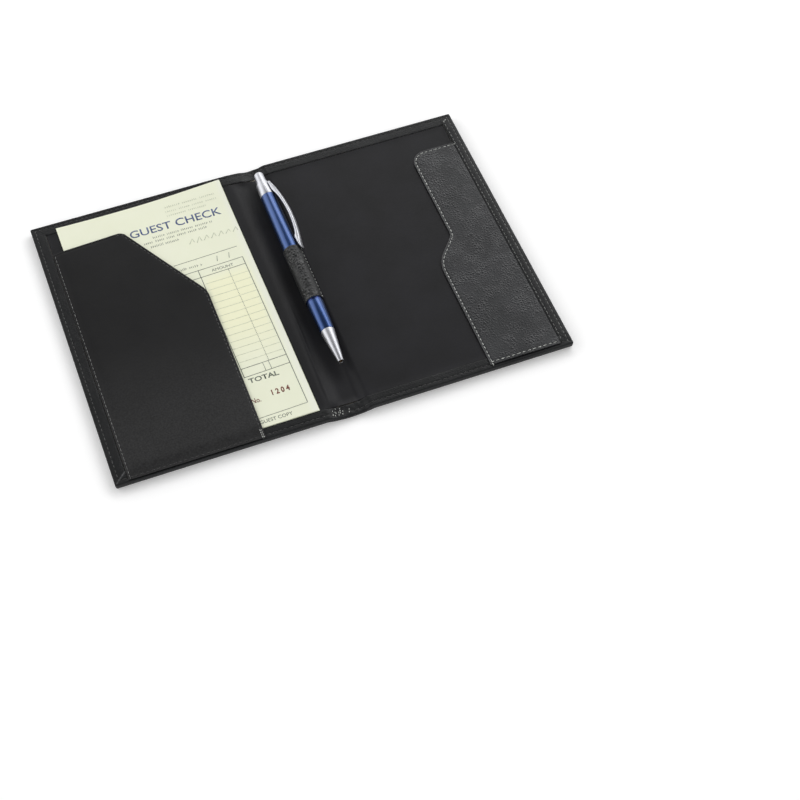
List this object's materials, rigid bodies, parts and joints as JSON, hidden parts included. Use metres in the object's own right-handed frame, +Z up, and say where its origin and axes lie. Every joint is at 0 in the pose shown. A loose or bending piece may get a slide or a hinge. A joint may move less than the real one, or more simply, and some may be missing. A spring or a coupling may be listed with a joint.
{
  "type": "guest check presenter",
  "caption": "Open padded leatherette folder that folds shut at its spine, with a check in one pocket, a second curved pocket and a click pen in a loop.",
  "frame": {"origin": "under the middle of the spine, on the surface that the open presenter lies on", "axes": "+X across the open presenter towards the back cover's free edge, +Y towards its top edge, +Z up out of the inside faces"},
  "size_m": [0.257, 0.182, 0.0133],
  "materials": {
    "leatherette": "grained, slightly glossy",
    "smooth_leatherette": "smooth, matte",
    "lining": "smooth, matte",
    "foam": "soft foam",
    "board": "grey board",
    "paper": "uncoated",
    "blue_metal": "blue anodised",
    "silver_metal": "satin",
    "refill_metal": "plain"
  },
  "bodies": {
    "back_cover": {"back_cover_skin": "leatherette", "back_cover_foam": "foam", "back_cover_board": "board", "back_cover_lining": "lining", "back_pocket": "leatherette"},
    "spine": {"spine_skin": "leatherette", "spine_stiffener": "board", "spine_lining": "lining", "pen_loop_anchor": "leatherette"},
    "front_cover": {"front_cover_skin": "leatherette", "front_cover_foam": "foam", "front_cover_board": "board", "front_cover_lining": "lining", "front_pocket": "smooth_leatherette"},
    "check": {"check_under_copy": "paper", "check_top_copy": "paper"},
    "loop": {"pen_loop": "leatherette"},
    "pen": {"pen_cone": "silver_metal", "pen_lower_barrel": "blue_metal", "pen_ring": "blue_metal", "pen_upper_barrel": "blue_metal", "pen_collar": "silver_metal"},
    "clip": {"pen_clip": "silver_metal"},
    "button": {"pen_button": "silver_metal", "pen_refill": "refill_metal", "pen_refill_tip": "refill_metal"}
  },
  "joints": [
    {"name": "spine_fold", "type": "hinge", "parent": "back_cover", "child": "spine", "pos_m": [0.0102, 0, 0.0006], "axis": [0, 1, 0], "range_deg": [0, 90]},
    {"name": "cover_fold", "type": "hinge", "parent": "spine", "child": "front_cover", "pos_m": [-0.0102, 0, 0.0006], "axis": [0, 1, 0], "range_deg": [0, 95.7]},
    {"name": "loop_lean", "type": "hinge", "parent": "spine", "child": "loop", "pos_m": [0.0029, 0, 0.00195], "axis": [0, -1, 0], "range_deg": [0, 46.69]},
    {"name": "pen_slide", "type": "slide", "parent": "loop", "child": "pen", "axis": [0, 1, 0], "range_m": [0, 0.09]},
    {"name": "clip_flex", "type": "hinge", "parent": "pen", "child": "clip", "pos_m": [0.00853, 0.0735, 0.00903], "axis": [-0.5, 0, 0.866], "range_deg": [0, 5], "stiffness_Nm_per_rad": 1},
    {"name": "button_click", "type": "slide", "parent": "pen", "child": "button", "axis": [0, -1, 0], "range_m": [0, 0.003], "stiffness_N_per_m": 500},
    {"name": "check_slide", "type": "slide", "parent": "front_cover", "child": "check", "axis": [0, 1, 0], "range_m": [0, 0.175]}
  ],
  "couplings": [
    {"joint": "cover_fold", "follows": "spine_fold", "ratio": 1.0633},
    {"joint": "loop_lean", "follows": "spine_fold", "ratio": 0.51853}
  ]
}
